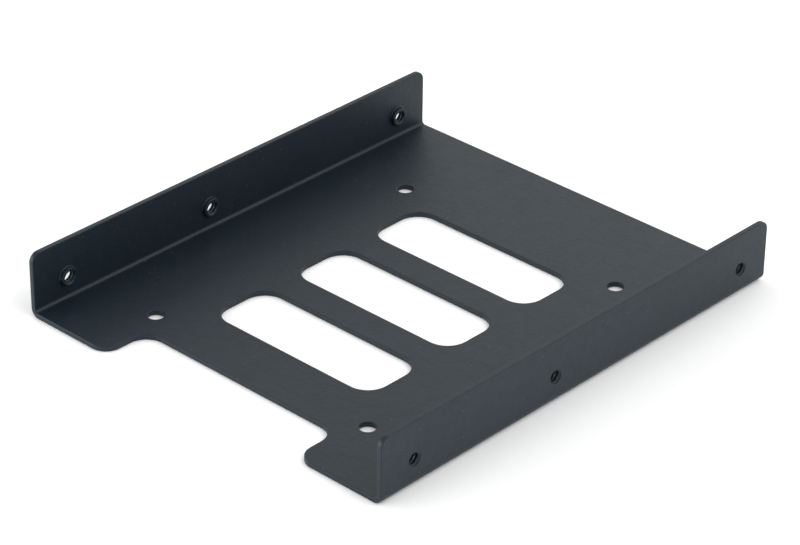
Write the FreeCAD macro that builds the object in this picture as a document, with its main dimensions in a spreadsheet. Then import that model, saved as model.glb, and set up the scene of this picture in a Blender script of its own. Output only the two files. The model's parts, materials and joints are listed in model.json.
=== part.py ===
import FreeCAD, Part
import os
import Sketcher

# Drive mounting bracket: one punched and folded steel sheet that holds a 2.5-inch drive in a 3.5-inch bay.
# Frame, in millimetres: X across the bracket, Y from the notched front edge to the rear edge, Z up.
# The origin is under the middle of the floor, on the plane that the bracket stands on.

os.makedirs("parts", exist_ok=True)
doc = FreeCAD.newDocument("drive_mounting_bracket")

# Driving dimensions
SIZES = [
    ("outer_width", 101.6, "across the outsides of the two flanges"),
    ("flange_height", 15.1, "underside to the top of a flange"),
    ("sheet_thickness", 1.2, "steel sheet with its coat"),
    ("inner_bend_radius", 0.8, "inside of each fold"),
    ("front_corner_radius", 2.2, "top front corner of a flange"),
    ("rear_corner_radius", 2.3, "top rear corner of a flange"),
    ("notch_width", 55.4, "connector notch, across"),
    ("notch_depth", 11.6, "connector notch, from the front edge"),
    ("notch_corner_radius", 4.5, "the two inner corners of the notch"),
    ("tab_corner_radius", 4.0, "the corner of each tab beside the notch"),
    ("slot_length", 45.8, "floor slot, across the bracket"),
    ("slot_width", 15.8, "floor slot, along the bracket"),
    ("slot_corner_radius", 5.0, "corners of a floor slot"),
    ("slot_setback", 33.6, "front edge to the middle of the first slot"),
    ("slot_pitch", 23.9, "middle of one slot to the middle of the next"),
    ("slot_count", 3, "number of floor slots"),
    ("floor_hole_diameter", 3.6, "plain hole for a drive screw"),
    ("floor_hole_across", 61.72, "floor hole pattern, across"),
    ("floor_hole_along", 76.6, "floor hole pattern, along"),
    ("floor_hole_setback", 17.2, "front edge to the first pair of floor holes"),
    ("side_hole_height", 6.35, "underside to the side holes"),
    ("side_hole_setback", 9.4, "front edge to the first side hole"),
    ("side_hole_gap_front", 41.6, "first side hole to the second"),
    ("side_hole_gap_rear", 60.0, "second side hole to the third"),
    ("rear_margin", 8.7, "third side hole to the rear edge"),
    ("thread_bore_diameter", 2.64, "side hole, at the crests of its thread"),
    ("collar_diameter", 4.4, "outside of the collar drawn out round a side hole"),
    ("collar_height", 0.9, "how far a collar stands in from its flange"),
    ("collar_root_radius", 0.25, "where a collar runs into its flange"),
    ("entry_radius", 0.5, "rolled lip of a side hole, on the outside"),
]

sheet = doc.addObject("Spreadsheet::Sheet", "Sizes")
for row, (alias, number, note) in enumerate(SIZES, start=1):
    sheet.set("A%d" % row, alias)
    sheet.set("B%d" % row, str(number))
    sheet.set("C%d" % row, note)
    sheet.setAlias("B%d" % row, alias)
doc.recompute()


def size(formula):
    """The number that a formula of the sheet's cells comes to."""
    return float(sheet.evalExpression(formula))


# Planes and places that several features share, as formulas
SIDE_HOLE_GAPS = ["Sizes.side_hole_gap_front", "Sizes.side_hole_gap_rear"]
PLATE_LENGTH = " + ".join(["Sizes.side_hole_setback", *SIDE_HOLE_GAPS, "Sizes.rear_margin"])
FRONT = "-(" + PLATE_LENGTH + ") / 2"
OUTSIDE = "Sizes.outer_width / 2"
INSIDE = "Sizes.outer_width / 2 - Sizes.sheet_thickness"
FIRST_SLOT = FRONT + " + Sizes.slot_setback"
FLOOR_HOLES_MIDDLE = FRONT + " + Sizes.floor_hole_setback + Sizes.floor_hole_along / 2"
FIRST_SIDE_HOLE = FRONT + " + Sizes.side_hole_setback"

# The body and its origin planes
body = doc.addObject("PartDesign::Body", "mounting_bracket")
body.Label = "mounting_bracket"
body.Placement = FreeCAD.Placement()
origin = {item.Role: item for item in body.Origin.OriginFeatures}

ALONG_X = FreeCAD.Vector(1, 0, 0)
ALONG_Y = FreeCAD.Vector(0, 1, 0)
ALONG_Z = FreeCAD.Vector(0, 0, 1)
SKETCH_ORIGIN = (-1, 1)
LEVEL_AXIS = -1
START, END, CENTRE = 1, 2, 3
BOTH_SIDES = (-1, 1)
SAME_PLACE = 1e-4


def new_sketch(name, plane, **offsets):
    """A sketch on one of the body's origin planes; the formulas in offsets move its own origin."""
    sketch = body.newObject("Sketcher::SketchObject", name)
    sketch.AttachmentSupport = [(origin[plane], "")]
    sketch.MapMode = "FlatFace"
    for letter, formula in offsets.items():
        sketch.setExpression(".AttachmentOffset.Base." + letter, formula)
    return sketch


def dimension(sketch, name, formula, *geometry):
    """A named sketch dimension that follows a formula."""
    index = sketch.addConstraint(Sketcher.Constraint(*geometry, size(formula)))
    sketch.renameConstraint(index, name)
    sketch.setExpression("Constraints." + name, formula)


def closed_outline(sketch, corners, construction=False):
    """Level and upright lines from corner to corner, joined end to end."""
    points = [FreeCAD.Vector(x, y, 0) for x, y in corners]
    for line, (start, end) in enumerate(zip(points, points[1:] + points[:1])):
        sketch.addGeometry(Part.LineSegment(start, end), construction)
        direction = "Horizontal" if start.y == end.y else "Vertical"
        sketch.addConstraint(Sketcher.Constraint(direction, line))
    for line in range(len(points)):
        following = (line + 1) % len(points)
        sketch.addConstraint(Sketcher.Constraint("Coincident", line, END, following, START))


def rectangle(sketch, across, along, construction=False):
    """A rectangle about the sketch's origin."""
    right, top = size(across) / 2, size(along) / 2
    closed_outline(sketch, [(-right, -top), (right, -top), (right, top), (-right, top)], construction)
    sketch.addConstraint(Sketcher.Constraint("Symmetric", 0, START, 1, END, *SKETCH_ORIGIN))
    dimension(sketch, "across", across, "DistanceX", 0, START, 0, END)
    dimension(sketch, "along", along, "DistanceY", 1, START, 1, END)


def circle(sketch, right, up, diameter):
    """A circle, roughly in place until its centre is constrained; gives its index."""
    centre = FreeCAD.Vector(right, up, 0)
    return sketch.addGeometry(Part.Circle(centre, ALONG_Z, diameter / 2), False)


def side_hole_circles(sketch, diameter):
    """Three equal circles in a row on the sketch's level axis, the first at its origin."""
    first = circle(sketch, 0, 0, size(diameter))
    sketch.addConstraint(Sketcher.Constraint("Coincident", first, CENTRE, *SKETCH_ORIGIN))
    dimension(sketch, "diameter", diameter, "Diameter", first)
    place = 0
    for index, gap in enumerate(SIDE_HOLE_GAPS, start=1):
        place += size(gap)
        following = circle(sketch, place, 0, size(diameter))
        sketch.addConstraint(Sketcher.Constraint("PointOnObject", following, CENTRE, LEVEL_AXIS))
        sketch.addConstraint(Sketcher.Constraint("Equal", first, following))
        dimension(sketch, "gap_%d" % index, gap, "DistanceX", following - 1, CENTRE, following, CENTRE)


def side_hole_centres(distance):
    """The six side holes' centres, at a formula's distance either side of the middle."""
    places = [size(FIRST_SIDE_HOLE)]
    for gap in SIDE_HOLE_GAPS:
        places.append(places[-1] + size(gap))
    return [
        FreeCAD.Vector(side * size(distance), place, size("Sizes.side_hole_height"))
        for side in BOTH_SIDES
        for place in places
    ]


def feature(kind, name, grows, profile=None, formulas=None, **settings):
    """The next feature of the body, checked: it must add or take away material as it should."""
    before = body.Shape.Volume if body.Tip else 0.0
    item = body.newObject("PartDesign::" + kind, name)
    if profile:
        item.Profile = profile
        doc.recompute()
    for key, value in settings.items():
        setattr(item, key, value)
    for key, formula in (formulas or {}).items():
        item.setExpression(key, formula)
    body.Tip = item
    doc.recompute()
    change = body.Shape.Volume - before
    if change == 0 or (change > 0) != grows:
        raise RuntimeError("%s changed the volume by %.4f" % (name, change))
    print("%-22s %+10.2f cubic mm" % (name, change))
    return item


def straight_edges(direction, places):
    """Names of the solid's straight edges along a direction that run through the places."""
    names = []
    for place in places:
        found = [
            "Edge%d" % index for index, edge in enumerate(body.Shape.Edges, start=1)
            if edge.Curve.TypeId == "Part::GeomLine"
            and edge.Curve.Direction.cross(direction).Length < SAME_PLACE
            and (edge.Vertexes[0].Point - place).cross(direction).Length < SAME_PLACE
        ]
        if not found:
            raise RuntimeError("no edge runs through %s" % place)
        names += found
    return names


def rims(diameter, centres):
    """Names of the solid's round edges of a diameter about the centres."""
    names = []
    for centre in centres:
        found = [
            "Edge%d" % index for index, edge in enumerate(body.Shape.Edges, start=1)
            if edge.Curve.TypeId == "Part::GeomCircle"
            and abs(edge.Curve.Radius - diameter / 2) < SAME_PLACE
            and (edge.Curve.Center - centre).Length < SAME_PLACE
        ]
        if not found:
            raise RuntimeError("no rim lies about %s" % centre)
        names += found
    return names


def rounding(name, radius, edges, grows=False):
    """A fillet on the named edges of the solid as it is now."""
    feature("Fillet", name, grows, formulas={"Radius": radius}, Base=(body.Tip, edges))


# The folded sheet: a square-cornered channel section, drawn out along the bracket
half_width, wall, height = size(OUTSIDE), size("Sizes.sheet_thickness"), size("Sizes.flange_height")
section = new_sketch("section", "XZ_Plane")
closed_outline(section, [
    (-half_width, 0),
    (half_width, 0),
    (half_width, height),
    (half_width - wall, height),
    (half_width - wall, wall),
    (wall - half_width, wall),
    (wall - half_width, height),
    (-half_width, height),
])
section.addConstraint(Sketcher.Constraint("Symmetric", 0, START, 0, END, *SKETCH_ORIGIN))
section.addConstraint(Sketcher.Constraint("Equal", 1, 7))
section.addConstraint(Sketcher.Constraint("Equal", 2, 6))
dimension(section, "outer_width", "Sizes.outer_width", "DistanceX", 0, START, 0, END)
dimension(section, "flange_height", "Sizes.flange_height", "DistanceY", 1, START, 1, END)
dimension(section, "flange_wall", "Sizes.sheet_thickness", "DistanceX", 2, END, 2, START)
dimension(section, "floor_wall", "Sizes.sheet_thickness", "DistanceY", 0, START, 4, END)
feature("Pad", "folded_sheet", True, section, {"Length": PLATE_LENGTH}, SideType="Symmetric")

# The two folds
inside_folds = [FreeCAD.Vector(side * size(INSIDE), 0, wall) for side in BOTH_SIDES]
outside_folds = [FreeCAD.Vector(side * size(OUTSIDE), 0, 0) for side in BOTH_SIDES]
rounding("inside_of_folds", "Sizes.inner_bend_radius", straight_edges(ALONG_Y, inside_folds), grows=True)
rounding("outside_of_folds", "Sizes.inner_bend_radius + Sizes.sheet_thickness",
         straight_edges(ALONG_Y, outside_folds))

# Top corners of the flanges
front_top = FreeCAD.Vector(0, size(FRONT), height)
rear_top = FreeCAD.Vector(0, -size(FRONT), height)
rounding("front_corners", "Sizes.front_corner_radius", straight_edges(ALONG_X, [front_top]))
rounding("rear_corners", "Sizes.rear_corner_radius", straight_edges(ALONG_X, [rear_top]))

# Connector notch: a rectangle about the middle of the front edge, half of it in the sheet
notch = new_sketch("notch_outline", "XY_Plane", y=FRONT)
rectangle(notch, "Sizes.notch_width", "2 * Sizes.notch_depth")
feature("Pocket", "connector_notch", False, notch, Type="ThroughAll", SideType="Symmetric")
notch_side = size("Sizes.notch_width / 2")
notch_back = size(FRONT + " + Sizes.notch_depth")
notch_corners = [FreeCAD.Vector(side * notch_side, notch_back, 0) for side in BOTH_SIDES]
tab_corners = [FreeCAD.Vector(side * notch_side, size(FRONT), 0) for side in BOTH_SIDES]
rounding("notch_corners", "Sizes.notch_corner_radius", straight_edges(ALONG_Z, notch_corners), grows=True)
rounding("tab_corners", "Sizes.tab_corner_radius", straight_edges(ALONG_Z, tab_corners))

# Floor slots: the first, then its copies towards the rear
slot = new_sketch("slot_outline", "XY_Plane", y=FIRST_SLOT)
rectangle(slot, "Sizes.slot_length", "Sizes.slot_width")
first_slot = feature("Pocket", "first_slot", False, slot, Type="ThroughAll", SideType="Symmetric")
feature("LinearPattern", "slot_row", False,
        formulas={"Offset": "Sizes.slot_pitch", "Occurrences": "Sizes.slot_count"},
        Originals=[first_slot], Direction=(origin["Y_Axis"], [""]), Mode="Spacing")
slot_side, slot_end = size("Sizes.slot_length / 2"), size("Sizes.slot_width / 2")
slot_corners = [
    FreeCAD.Vector(side * slot_side, size(FIRST_SLOT) + step * size("Sizes.slot_pitch") + end * slot_end, 0)
    for step in range(int(size("Sizes.slot_count")))
    for side in BOTH_SIDES
    for end in BOTH_SIDES
]
rounding("slot_corners", "Sizes.slot_corner_radius", straight_edges(ALONG_Z, slot_corners), grows=True)

# Floor holes, at the corners of the drive's own hole pattern
floor_holes = new_sketch("floor_hole_centres", "XY_Plane", y=FLOOR_HOLES_MIDDLE)
rectangle(floor_holes, "Sizes.floor_hole_across", "Sizes.floor_hole_along", construction=True)
for corner, line in enumerate(floor_holes.Geometry):
    place = line.StartPoint
    centre = circle(floor_holes, place.x, place.y, size("Sizes.floor_hole_diameter"))
    floor_holes.addConstraint(Sketcher.Constraint("Coincident", centre, CENTRE, corner, START))
    if corner:
        floor_holes.addConstraint(Sketcher.Constraint("Equal", centre - 1, centre))
    else:
        dimension(floor_holes, "diameter", "Sizes.floor_hole_diameter", "Diameter", centre)
feature("Pocket", "floor_holes", False, floor_holes, Type="ThroughAll", SideType="Symmetric")

# Side holes: a collar drawn inwards round each one, the same on both flanges, then bores through both
collar_outlines = new_sketch("collar_outlines", "YZ_Plane",
                             x=FIRST_SIDE_HOLE, y="Sizes.side_hole_height", z=INSIDE)
side_hole_circles(collar_outlines, "Sizes.collar_diameter")
collars = feature("Pad", "right_collars", True, collar_outlines,
                  {"Length": "Sizes.collar_height"}, Reversed=True)
feature("Mirrored", "left_collars", True, Originals=[collars], MirrorPlane=(origin["YZ_Plane"], [""]))
bore_outlines = new_sketch("bore_outlines", "YZ_Plane",
                           x=FIRST_SIDE_HOLE, y="Sizes.side_hole_height", z=OUTSIDE)
side_hole_circles(bore_outlines, "Sizes.thread_bore_diameter")
feature("Hole", "thread_bores", False, bore_outlines, {"Diameter": "Sizes.thread_bore_diameter"},
        DepthType="ThroughAll", DrillPoint="Flat")
rounding("rolled_lips", "Sizes.entry_radius",
         rims(size("Sizes.thread_bore_diameter"), side_hole_centres(OUTSIDE)))
rounding("collar_roots", "Sizes.collar_root_radius",
         rims(size("Sizes.collar_diameter"), side_hole_centres(INSIDE)), grows=True)

# Checks, then the file
for item in doc.Objects:
    if "Invalid" in item.State or "Error" in item.State:
        raise RuntimeError("%s is in the state %s" % (item.Name, item.State))
for item in doc.Objects:
    if item.TypeId == "Sketcher::SketchObject" and not item.FullyConstrained:
        raise RuntimeError("%s is not fully constrained" % item.Name)
bracket = body.Shape
if bracket.isNull() or not bracket.isValid() or len(bracket.Solids) != 1:
    raise RuntimeError("the bracket is not one valid solid")
bracket.exportStep("parts/%s.step" % body.Label)
box = bracket.optimalBoundingBox(True, False)
print("box %.3f by %.3f by %.3f mm" % (box.XLength, box.YLength, box.ZLength))
print("volume %.2f cubic mm, area %.2f square mm, %d faces" % (bracket.Volume, bracket.Area, len(bracket.Faces)))
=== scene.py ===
# %% [markdown]
# # A powder-coated drive mounting bracket
#
# The object is one piece of steel sheet, about 1.2 mm thick. A press punches its outline, its
# three slots and its four plain holes, draws a small collar inwards round each side hole, and
# folds the two sides up. The side holes are tapped, and the whole piece is sprayed with black
# powder that is baked into a hard, matt, slightly grainy skin.
#
# The solid comes from a CAD model and is already the right shape, so this script never redraws
# it. It adds what the CAD model leaves out: the coat's soft edges, the screw threads and the
# finish. Modifiers do the first two, because they change only what is shown and can be
# reordered or switched off at any time. Building the bracket again from a plane would also
# work, but then every size would have to be kept in step by hand.

# %% Load the bracket
import json
import math
import bpy
from mathutils import Matrix, Vector


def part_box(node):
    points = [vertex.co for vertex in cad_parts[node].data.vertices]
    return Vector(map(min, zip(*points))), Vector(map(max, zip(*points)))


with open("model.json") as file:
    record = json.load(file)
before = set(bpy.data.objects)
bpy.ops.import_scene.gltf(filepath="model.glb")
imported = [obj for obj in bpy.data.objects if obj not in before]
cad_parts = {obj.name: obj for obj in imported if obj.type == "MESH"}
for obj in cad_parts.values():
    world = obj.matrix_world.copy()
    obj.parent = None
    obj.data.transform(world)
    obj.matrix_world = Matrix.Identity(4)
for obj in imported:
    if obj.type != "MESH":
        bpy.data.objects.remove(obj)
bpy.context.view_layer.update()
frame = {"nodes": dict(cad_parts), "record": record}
bracket = frame["nodes"]["mounting_bracket"]
low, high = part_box("mounting_bracket")
MM = 0.001
print("bracket %.1f x %.1f x %.1f mm" % tuple((high - low) / MM))

# %% [markdown]
# ## The camera
#
# The picture is taken from the right and in front, looking down, through a long lens, so the
# bracket's parallel edges stay nearly parallel. A camera can be placed by eye, by tracking an
# empty, or from a place and three angles. The angles are used here, because they give exactly
# the same view every time: turn round the upright axis, tilt down, then roll a little, in that
# order.

# %% Set up the camera
CAMERA_PLACE = Vector((403.8, -434.2, 354.4)) * MM
CAMERA_TURN = 42.964
CAMERA_TILT = 30.42
CAMERA_ROLL = 0.682
LENS_LENGTH = 145.78
SENSOR_WIDTH = 36

camera = bpy.data.objects.new("camera", bpy.data.cameras.new("camera"))
bpy.context.scene.collection.objects.link(camera)
bpy.context.scene.camera = camera
camera.data.sensor_width = SENSOR_WIDTH
camera.data.lens = LENS_LENGTH
turn = Matrix.Rotation(math.radians(CAMERA_TURN), 4, "Z")
tilt = Matrix.Rotation(math.radians(90 - CAMERA_TILT), 4, "X")
roll = Matrix.Rotation(math.radians(CAMERA_ROLL), 4, "Z")
camera.matrix_world = Matrix.Translation(CAMERA_PLACE) @ turn @ tilt @ roll
print("camera %.0f mm from the bracket" % (CAMERA_PLACE.length / MM))

# %% [markdown]
# ## The table and the light
#
# The bracket lies on a white table with no visible horizon. A curved sweep of paper is the
# studio's way; one wide plane does the same here, because the camera only ever sees the table
# behind the bracket. A hair of air is left under the bracket, because two faces in exactly the
# same place flicker through each other.

# %% Lay the table
TABLE_SIZE = 6.0
TABLE_GAP = 0.05 * MM

reach = TABLE_SIZE / 2
table_mesh = bpy.data.meshes.new("table")
table_mesh.from_pydata(
    [(-reach, -reach, 0), (reach, -reach, 0), (reach, reach, 0), (-reach, reach, 0)],
    [], [(0, 1, 2, 3)])
table = bpy.data.objects.new("table", table_mesh)
table.location.z = low.z - TABLE_GAP
bpy.context.scene.collection.objects.link(table)
print("table %.0f m wide" % TABLE_SIZE)

# %% [markdown]
# The paper on the table is a plain matt white that keeps the bracket's shadow. To the camera,
# and to rays that come by way of a mirror or glass, it is a little whiter than paper can be.
# More light would whiten it too, but that light would also fall on the black coat. This way the
# paper reads as white everywhere, its shadows keep their depth, and the coat stays black.

# %% Cover it with white paper
PAPER_WHITE = 0.92
SEEN_WHITE = 1.16

paper = bpy.data.materials.new("white_paper")
paper.use_nodes = True
paper_nodes, paper_links = paper.node_tree.nodes, paper.node_tree.links
paper_nodes.clear()


def matt_white(level):
    """A matt surface that gives back the same share of every colour."""
    node = paper_nodes.new("ShaderNodeBsdfDiffuse")
    node.inputs["Color"].default_value = (level, level, level, 1)
    return node


ray = paper_nodes.new("ShaderNodeLightPath")
looked_at = ray.outputs["Is Camera Ray"]
for other in ("Is Glossy Ray", "Is Transmission Ray"):
    either = paper_nodes.new("ShaderNodeMath")
    either.operation = "MAXIMUM"
    paper_links.new(looked_at, either.inputs[0])
    paper_links.new(ray.outputs[other], either.inputs[1])
    looked_at = either.outputs[0]
paper_choice = paper_nodes.new("ShaderNodeMixShader")
paper_links.new(looked_at, paper_choice.inputs[0])
paper_links.new(matt_white(PAPER_WHITE).outputs[0], paper_choice.inputs[1])
paper_links.new(matt_white(SEEN_WHITE).outputs[0], paper_choice.inputs[2])
paper_out = paper_nodes.new("ShaderNodeOutputMaterial")
paper_links.new(paper_choice.outputs[0], paper_out.inputs["Surface"])
table_mesh.materials.append(paper)
print("paper white %.2f, seen as %.2f" % (PAPER_WHITE, SEEN_WHITE))

# %% [markdown]
# A matt black part shows its form mostly by what it reflects, so the lights are placed for
# their reflections. The room itself is an even, half-bright grey that fills every shadow a
# little, and plain white where the camera looks past the table. One bright picture of a room
# could light it all at once, but a plain room with separate panels can be changed one part at a
# time while looking at the result.

# %% Fill the room with even light
ROOM_LEVEL = 0.53

room = bpy.data.worlds.new("room")
bpy.context.scene.world = room
room.use_nodes = True
room_nodes, room_links = room.node_tree.nodes, room.node_tree.links
walls = room_nodes["Background"]
walls.inputs["Color"].default_value = (1, 1, 1, 1)
walls.inputs["Strength"].default_value = ROOM_LEVEL
white = room_nodes.new("ShaderNodeBackground")
white.inputs["Color"].default_value = (1, 1, 1, 1)
white.inputs["Strength"].default_value = 1
room_ray = room_nodes.new("ShaderNodeLightPath")
room_choice = room_nodes.new("ShaderNodeMixShader")
room_links.new(room_ray.outputs["Is Camera Ray"], room_choice.inputs[0])
room_links.new(walls.outputs[0], room_choice.inputs[1])
room_links.new(white.outputs[0], room_choice.inputs[2])
room_links.new(room_choice.outputs[0], room_nodes["World Output"].inputs["Surface"])
bpy.context.scene.view_settings.view_transform = "Standard"
print("room at %.2f of white" % ROOM_LEVEL)

# %% [markdown]
# Each panel has one job. The low backdrop panel behind the left flange lays the broad sheen on
# the bracket's floor, and the flange's shadow in it keeps the floor dark on that side. The
# right and rear panels light the right flange and the fold of the left one, the overhead panel
# lifts the flat tops, and the front panel picks out the sheet's cut front edges. Blender asks
# for watts, which are the brightness times the area times pi, so a bigger panel doesn't look
# brighter by accident.

# %% Place the light panels
PANEL_DISTANCE = 1.6


def light_panel(name, bearing, rise, width, height, brightness):
    """A soft panel facing the bracket, at a bearing of 0 behind it and 90 to its right."""
    across, up = math.radians(bearing), math.radians(rise)
    direction = Vector((
        math.sin(across) * math.cos(up), math.cos(across) * math.cos(up), math.sin(up)))
    panel = bpy.data.objects.new(name, bpy.data.lights.new(name, "AREA"))
    panel.data.shape = "RECTANGLE"
    panel.data.size, panel.data.size_y = width, height
    panel.data.energy = brightness * width * height * math.pi
    panel.location = direction * PANEL_DISTANCE
    panel.rotation_euler = (-direction).to_track_quat("-Z", "Y").to_euler()
    bpy.context.scene.collection.objects.link(panel)
    print("%-15s %4.1f x %.1f m, %4.1f W" % (name, width, height, panel.data.energy))


light_panel("right_panel", bearing=75, rise=34, width=1.6, height=2.0, brightness=1.3)
light_panel("rear_panel", bearing=0, rise=36, width=1.4, height=0.8, brightness=1.1)
light_panel("backdrop_panel", bearing=315, rise=19, width=3.2, height=0.75, brightness=0.86)
light_panel("overhead_panel", bearing=75, rise=88, width=1.8, height=1.8, brightness=0.27)
light_panel("front_panel", bearing=218, rise=13, width=2.2, height=0.8, brightness=4.0)

# %% [markdown]
# ## Soft edges
#
# A punched edge is sharp, but baked powder pulls back from a corner and leaves it rounded by
# about a fifth of a millimetre. That tiny round is what draws a bright line along each edge. It
# could be faked in the shader, but real geometry also shows in silhouette. The CAD model
# arrives as triangles, so two modifiers tidy it first: one welds the points that the file
# doubled, and one joins flat neighbours into larger faces. Then a bevel rounds every edge that
# turns by more than a smooth curve does.

# %% Round the coated edges
WELD_REACH = 0.001 * MM
FLAT_TURN = math.radians(0.5)
SMOOTH_TURN = math.radians(35)
COAT_EDGE = 0.2 * MM
COAT_STEPS = 3

weld = bracket.modifiers.new("join_doubled_points", "WELD")
weld.merge_threshold = WELD_REACH
flats = bracket.modifiers.new("join_flat_faces", "DECIMATE")
flats.decimate_type = "DISSOLVE"
flats.angle_limit = FLAT_TURN
rounding = bracket.modifiers.new("coat_rounds_edges", "BEVEL")
rounding.width = COAT_EDGE
rounding.segments = COAT_STEPS
rounding.limit_method = "ANGLE"
rounding.angle_limit = SMOOTH_TURN
rounding.use_clamp_overlap = False
rounding.loop_slide = False
rounding.miter_outer = "MITER_ARC"
print("edges rounded by %.1f mm in %d steps" % (COAT_EDGE / MM, COAT_STEPS))

# %% [markdown]
# ## The threads
#
# Each side hole takes a screw with 32 threads to the inch, so its wall has a groove that climbs
# like a spiral stair. The tap that cuts it is copied: a ribbon with the groove's profile is
# wound round the hole's axis. It starts and ends outside the sheet, and its inner edge lies in
# the open bore, so that it cuts cleanly. Blender's Screw modifier could wind it too, but a
# short loop shows how a thread is made: each step turns a little and climbs a little.

# %% Wind the tap
THREADS_PER_INCH = 32
THREAD_PITCH = 25.4 / THREADS_PER_INCH * MM
THREAD_FLAT = THREAD_PITCH / 8
THREAD_ROOT = 3.505 / 2 * MM
TAP_CORE = 1.2 * MM
FLANK_SLOPE = math.tan(math.radians(30))
TURN_STEPS = 28


def wind_tap(points, faces, middle, start, end):
    """Adds one spiral ribbon about a line along X, from start to end, to the lists."""
    root_half = THREAD_FLAT / 2
    core_half = root_half + (THREAD_ROOT - TAP_CORE) * FLANK_SLOPE
    profile = [(-core_half, TAP_CORE), (-root_half, THREAD_ROOT),
               (root_half, THREAD_ROOT), (core_half, TAP_CORE)]
    corners = len(profile)
    steps = math.ceil(abs(end - start) / THREAD_PITCH * TURN_STEPS)
    first = len(points)
    for step in range(steps + 1):
        angle = 2 * math.pi * step / TURN_STEPS
        along = min(start, end) + THREAD_PITCH * step / TURN_STEPS
        for shift, radius in profile:
            points.append((along + shift,
                           middle.y + radius * math.cos(angle),
                           middle.z + radius * math.sin(angle)))
    for step in range(steps):
        here, there = first + corners * step, first + corners * (step + 1)
        for corner in range(corners):
            beside = (corner + 1) % corners
            faces.append((here + corner, there + corner, there + beside, here + beside))
    last = first + corners * steps
    faces.append(tuple(range(first, first + corners)))
    faces.append(tuple(reversed(range(last, last + corners))))


print("thread %.3f mm a turn, %.2f mm across" % (THREAD_PITCH / MM, 2 * THREAD_ROOT / MM))

# %% [markdown]
# The record of the part says where the screws go: each flange has two pairs of holes, and the
# middle hole belongs to both. Typing the six places in would be shorter, but reading them from
# there keeps the threads in the holes if a size changes. The places are rounded to a
# thousandth of a millimetre, so that the set keeps the middle hole only once.

# %% Find the side holes
PLACE_DIGITS = 6

hole_centres = set()
for mount in frame["record"]["mounts"]:
    if mount["name"].endswith("bay_screws"):
        x, y, z = mount["pos_m"]
        half_gap = mount["dims"]["spacing_x_mm"] * MM / 2
        hole_centres |= {(x, round(y - half_gap, PLACE_DIGITS), z),
                         (x, round(y + half_gap, PLACE_DIGITS), z)}
print("%d side holes" % len(hole_centres))

# %% [markdown]
# One hidden object holds all six taps, and a Boolean modifier takes it out of the flanges. A
# bump map would be lighter, but the grooves are seen edge on at the holes' mouths, where only
# geometry looks right.

# %% Cut the threads
COLLAR_REACH = 2.4 * MM
TAP_OVERSHOOT = 0.8 * MM

tap_points, tap_faces = [], []
for centre in sorted(hole_centres):
    outside = Vector(centre)
    inward = -math.copysign(1, outside.x)
    wind_tap(tap_points, tap_faces, outside,
             outside.x - inward * TAP_OVERSHOOT,
             outside.x + inward * (COLLAR_REACH + TAP_OVERSHOOT))
tap_mesh = bpy.data.meshes.new("taps")
tap_mesh.from_pydata(tap_points, [], tap_faces)
tap_mesh.update()
taps = bpy.data.objects.new("taps", tap_mesh)
bpy.context.scene.collection.objects.link(taps)
taps.hide_render = True
taps.hide_viewport = True

threads = bracket.modifiers.new("cut_threads", "BOOLEAN")
threads.operation = "DIFFERENCE"
threads.solver = "EXACT"
threads.object = taps
print("taps of %d faces" % len(tap_faces))

# %% [markdown]
# Flat faces should look flat and rounds should look round. Smooth shading alone bends the light
# across the big flat faces, because it averages the directions of every face at a point.
# Weighting that average by area lets the big faces win, so only the narrow rounds are shaded as
# curves.

# %% Shade flats flat and rounds round
AREA_WEIGHT = 100

shading = bracket.modifiers.new("weigh_normals", "WEIGHTED_NORMAL")
shading.mode = "FACE_AREA"
shading.weight = AREA_WEIGHT
shading.keep_sharp = True
print("modifiers: " + ", ".join(modifier.name for modifier in bracket.modifiers))

# %% [markdown]
# ## The powder coat
#
# Matt black powder melts into a skin of low mounds, about a millimetre apart, with finer pits
# between them. Up close it is a soft, blurred mirror: nearly black where it reflects something
# dark, and grey where it reflects a bright room. So the base colour is very dark and slightly
# blue, the roughness is medium and varies a little, and the mounds come from noise turned into
# bump. Real displacement at that scale would need millions of faces for mounds that are thinner
# than a hair.

# %% Lay out the patterns of the coat
GRAIN_SIZE = 0.9 * MM
PIT_SIZE = 0.16 * MM
CLOUD_SIZE = 18 * MM
PATCH_SIZE = 2.4 * MM
PATCH_BREAKUP = 0.7

coat = bpy.data.materials.new("black_powder_coat")
coat.use_nodes = True
coat_nodes, coat_links = coat.node_tree.nodes, coat.node_tree.links
skin = coat_nodes["Principled BSDF"]
place = coat_nodes.new("ShaderNodeTexCoord")


def noise(name, size, detail):
    """A noise texture of the given grain size, in the object's own space."""
    node = coat_nodes.new("ShaderNodeTexNoise")
    node.name = name
    node.inputs["Scale"].default_value = 1 / size
    node.inputs["Detail"].default_value = detail
    coat_links.new(place.outputs["Object"], node.inputs["Vector"])
    return node


mounds = noise("mounds", GRAIN_SIZE, detail=1.0)
pits = noise("pits", PIT_SIZE, detail=0.0)
clouds = noise("clouds", CLOUD_SIZE, detail=3.0)
patches = noise("patches", PATCH_SIZE, detail=3.0)
patches.inputs["Roughness"].default_value = PATCH_BREAKUP
print("patterns of %.2f, %.1f, %.1f and %.0f mm" % tuple(
    size / MM for size in (PIT_SIZE, GRAIN_SIZE, PATCH_SIZE, CLOUD_SIZE)))

# %% [markdown]
# Two bumps are chained: the mounds first, and the pits on top of them. Both are far lower than
# they are wide, so they only break up the sheen and never look like dents. Adding the two
# patterns and using one bump would do as well, but with two each height can be set alone.

# %% Raise the grain
MOUND_HEIGHT = 0.12 * MM
MOUND_STRENGTH = 0.28
PIT_HEIGHT = 0.02 * MM
PIT_STRENGTH = 0.25


def bump(pattern, height, strength):
    """Turns a pattern into small slopes of the surface."""
    node = coat_nodes.new("ShaderNodeBump")
    node.inputs["Strength"].default_value = strength
    node.inputs["Distance"].default_value = height
    coat_links.new(pattern.outputs["Fac"], node.inputs["Height"])
    return node


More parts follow.
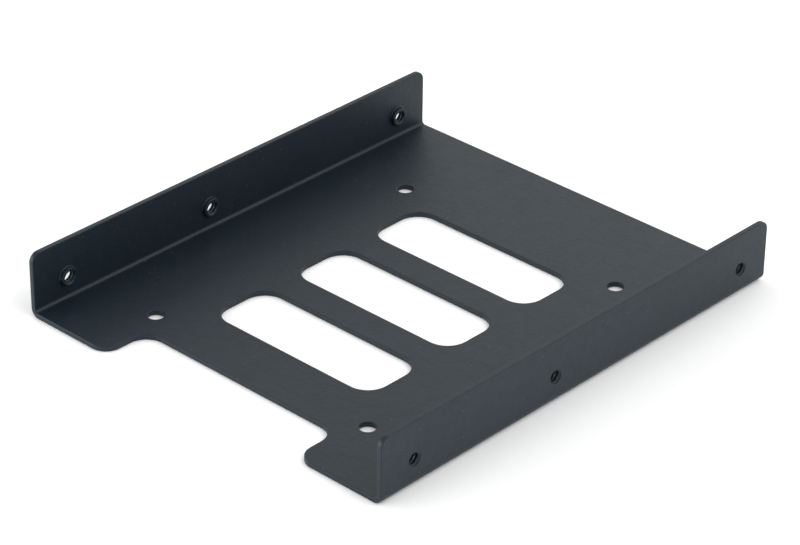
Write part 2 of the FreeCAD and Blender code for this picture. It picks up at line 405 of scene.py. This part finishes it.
mound_bump = bump(mounds, MOUND_HEIGHT, MOUND_STRENGTH)
pit_bump = bump(pits, PIT_HEIGHT, PIT_STRENGTH)
coat_links.new(mound_bump.outputs["Normal"], pit_bump.inputs["Normal"])
coat_links.new(pit_bump.outputs["Normal"], skin.inputs["Normal"])
print("mounds %.2f mm high, pits %.2f mm deep" % (MOUND_HEIGHT / MM, PIT_HEIGHT / MM))

# %% [markdown]
# The slow clouds mix two nearly equal blacks. A few light grains of dust stick in the coat as
# well. Voronoi cells scatter them: each cell has one centre, and only the cells whose centre
# lies close under the surface show a dot, so the dots come out few and of different sizes. A
# finer noise could be cut off high to give dots too, but they would gather in clumps.

# %% Colour the coat
COAT_BLACK = (0.001, 0.0055, 0.0135, 1)
COAT_WORN = (0.003, 0.0085, 0.0175, 1)
DUST_COLOUR = (0.17, 0.18, 0.19, 1)
DUST_SPACING = 2.2 * MM
DUST_RADIUS = 0.15 * MM

blacks = coat_nodes.new("ShaderNodeMix")
blacks.data_type = "RGBA"
blacks.inputs["A"].default_value = COAT_BLACK
blacks.inputs["B"].default_value = COAT_WORN
coat_links.new(clouds.outputs["Fac"], blacks.inputs["Factor"])
dust = coat_nodes.new("ShaderNodeTexVoronoi")
dust.inputs["Scale"].default_value = 1 / DUST_SPACING
coat_links.new(place.outputs["Object"], dust.inputs["Vector"])
nearness = coat_nodes.new("ShaderNodeMapRange")
nearness.inputs["From Min"].default_value = DUST_RADIUS / DUST_SPACING
nearness.inputs["From Max"].default_value = 0
coat_links.new(dust.outputs["Distance"], nearness.inputs["Value"])
dusted = coat_nodes.new("ShaderNodeMix")
dusted.data_type = "RGBA"
dusted.inputs["B"].default_value = DUST_COLOUR
coat_links.new(blacks.outputs["Result"], dusted.inputs["A"])
coat_links.new(nearness.outputs["Result"], dusted.inputs["Factor"])
coat_links.new(dusted.outputs["Result"], skin.inputs["Base Color"])
print("dust about %.1f mm apart" % (DUST_SPACING / MM))

# %% [markdown]
# Where the powder lay thicker it flowed better and shines a little more, so the patches shift
# the roughness up and down by a small step. One even roughness would be simpler, but then the
# sheen would look like that of a plastic film. The coat's clear resin takes a trace of red out
# of what it reflects, and the specular tint does the same.

# %% Set the gloss
SMOOTHEST = 0.42
ROUGHEST = 0.58
RESIN_TINT = (0.86, 1, 0.99, 1)

gloss = coat_nodes.new("ShaderNodeMapRange")
gloss.inputs["To Min"].default_value = SMOOTHEST
gloss.inputs["To Max"].default_value = ROUGHEST
coat_links.new(patches.outputs["Fac"], gloss.inputs["Value"])
coat_links.new(gloss.outputs["Result"], skin.inputs["Roughness"])
skin.inputs["Specular Tint"].default_value = RESIN_TINT
bracket.material_slots[0].material = coat
print("roughness %.2f to %.2f" % (SMOOTHEST, ROUGHEST))
